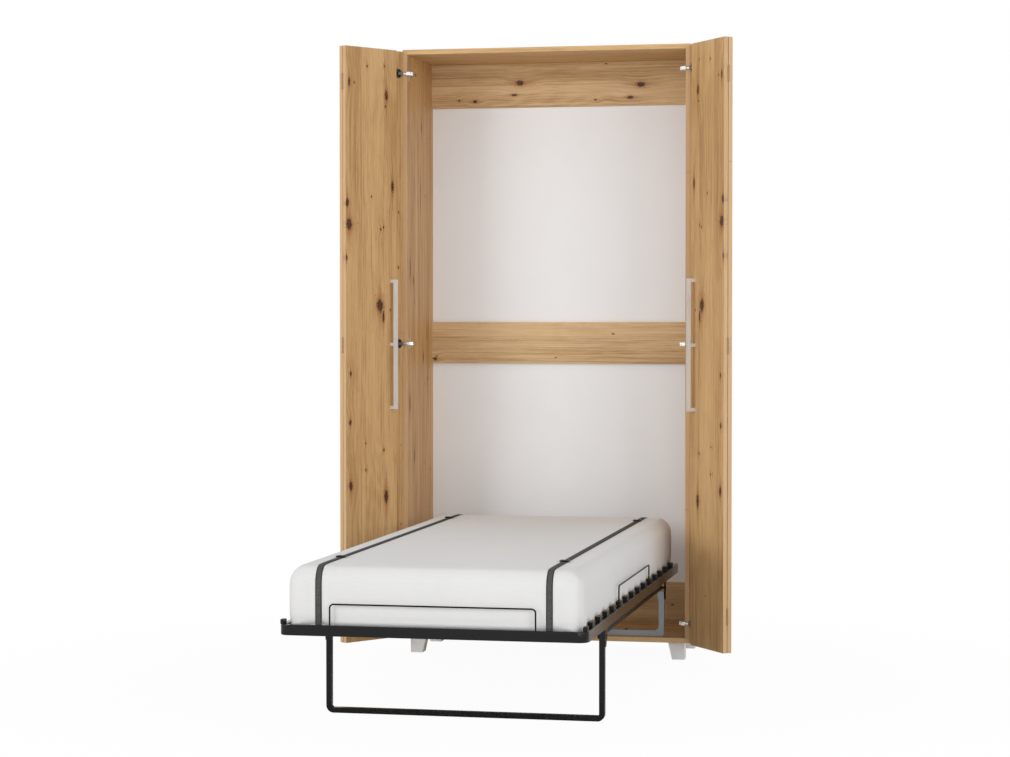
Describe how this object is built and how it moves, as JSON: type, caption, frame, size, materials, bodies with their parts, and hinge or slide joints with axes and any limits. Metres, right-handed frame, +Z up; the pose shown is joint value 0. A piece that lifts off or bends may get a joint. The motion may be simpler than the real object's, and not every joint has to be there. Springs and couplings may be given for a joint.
{
  "type": "wall bed",
  "caption": "Folding wall bed in an upright cabinet with bifold doors, shown with the bed down on its support leg.",
  "frame": {"origin": "centre of the overall footprint, on the floor", "axes": "+Z up, -Y out of the cabinet towards the foot of the bed, +X to the right as seen from the foot"},
  "size_m": [1.4474, 2.263, 2.312],
  "materials": {
    "oak_board": "satin melamine with a knotty oak pattern",
    "pale_sheet": "matte coated fibreboard",
    "grey_plastic": "matte moulded plastic",
    "zinc_steel": "zinc or nickel plated",
    "brown_steel": "brown lacquer close to the boards",
    "satin_aluminium": "satin",
    "grey_steel": "grey powder coat",
    "black_steel": "gloss black powder coat",
    "black_plastic": "moulded plastic",
    "birch_slat": "clear lacquered plywood",
    "white_cloth": "woven cover",
    "grey_webbing": "flat webbing"
  },
  "bodies": {
    "cabinet": {"side_panel_left": "oak_board", "side_panel_right": "oak_board", "top_board": "oak_board", "bottom_board": "oak_board", "top_rail": "oak_board", "middle_rail": "oak_board", "bottom_rail": "oak_board", "lower_back_sheet": "pale_sheet", "upper_back_sheet": "pale_sheet", "cabinet_feet": "grey_plastic", "carcass_screws": "zinc_steel", "bracket_screws": "zinc_steel", "wall_brackets": "zinc_steel", "hinge_arms_left": "zinc_steel", "hinge_arms_right": "zinc_steel", "base_frame": "grey_steel", "base_frame_bolts": "black_steel", "pivot_plates": "black_steel", "link_plates": "grey_steel", "link_pins": "black_steel"},
    "bed": {"side_rail_left": "black_steel", "side_rail_right": "black_steel", "foot_rail": "black_steel", "head_rail": "black_steel", "cross_tube": "black_steel", "slats": "birch_slat", "slat_caps": "black_plastic", "corner_stops": "black_plastic", "mattress": "white_cloth", "straps": "grey_webbing", "strap_sliders": "black_plastic", "strap_anchors": "black_plastic", "foot_hoop": "black_steel", "side_hoop_left": "black_steel", "side_hoop_right": "black_steel", "pivot_bolts": "black_steel", "pivot_bushes": "black_plastic", "pivot_nuts": "black_steel", "gas_studs": "black_steel"},
    "leg": {"support_leg": "black_steel", "leg_link_pins": "black_steel"},
    "rods": {"link_rods": "black_steel"},
    "gas_tubes": {"gas_cylinders": "black_steel"},
    "gas_rods": {"gas_pistons": "zinc_steel"},
    "outer_door_left": {"outer_leaf_left": "oak_board", "hinge_cups_left": "zinc_steel", "fold_hinges_outer_left": "brown_steel", "fold_pins_left": "brown_steel"},
    "inner_door_left": {"inner_leaf_left": "oak_board", "fold_hinges_inner_left": "brown_steel", "handle_left": "satin_aluminium", "handle_screws_left": "zinc_steel"},
    "outer_door_right": {"outer_leaf_right": "oak_board", "hinge_cups_right": "zinc_steel", "fold_hinges_outer_right": "brown_steel", "fold_pins_right": "brown_steel"},
    "inner_door_right": {"inner_leaf_right": "oak_board", "fold_hinges_inner_right": "brown_steel", "handle_right": "satin_aluminium", "handle_screws_right": "zinc_steel"}
  },
  "joints": [
    {"name": "bed_fold", "type": "hinge", "parent": "cabinet", "child": "bed", "pos_m": [0, 0.7915, 0.32], "axis": [-1, 0, 0], "range_deg": [0, 90]},
    {"name": "leg_fold", "type": "hinge", "parent": "bed", "child": "leg", "pos_m": [0, -0.6215, 0.32], "axis": [-1, 0, 0], "range_deg": [-90, 0]},
    {"name": "rod_swing", "type": "hinge", "parent": "cabinet", "child": "rods", "pos_m": [0, 0.7575, 0.264], "axis": [-1, 0, 0], "range_deg": [0, 90]},
    {"name": "gas_tilt", "type": "hinge", "parent": "cabinet", "child": "gas_tubes", "pos_m": [0, 0.7575, 0.264], "axis": [-1, 0, 0], "range_deg": [0, 86.68]},
    {"name": "gas_stroke", "type": "slide", "parent": "gas_tubes", "child": "gas_rods", "axis": [0, -0.9944, 0.1061], "range_m": [0, 0.08817]},
    {"name": "door_swing_left", "type": "hinge", "parent": "cabinet", "child": "outer_door_left", "pos_m": [-0.5435, 0.704, 1.166], "axis": [0, 0, 1], "range_deg": [0, 35]},
    {"name": "door_fold_left", "type": "hinge", "parent": "outer_door_left", "child": "inner_door_left", "pos_m": [-0.71037, 0.46133, 1.166], "axis": [0, 0, 1], "range_deg": [-30, 0]},
    {"name": "door_swing_right", "type": "hinge", "parent": "cabinet", "child": "outer_door_right", "pos_m": [0.5435, 0.704, 1.166], "axis": [0, 0, -1], "range_deg": [0, 35]},
    {"name": "door_fold_right", "type": "hinge", "parent": "outer_door_right", "child": "inner_door_right", "pos_m": [0.71037, 0.46133, 1.166], "axis": [0, 0, -1], "range_deg": [-30, 0]}
  ],
  "couplings": [
    {"joint": "leg_fold", "follows": "bed_fold", "ratio": -1},
    {"joint": "rod_swing", "follows": "bed_fold", "ratio": 1},
    {"joint": "gas_tilt", "follows": "bed_fold", "ratio": 0.96298},
    {"joint": "gas_stroke", "follows": "bed_fold", "m_per_rad": 0.056069}
  ]
}
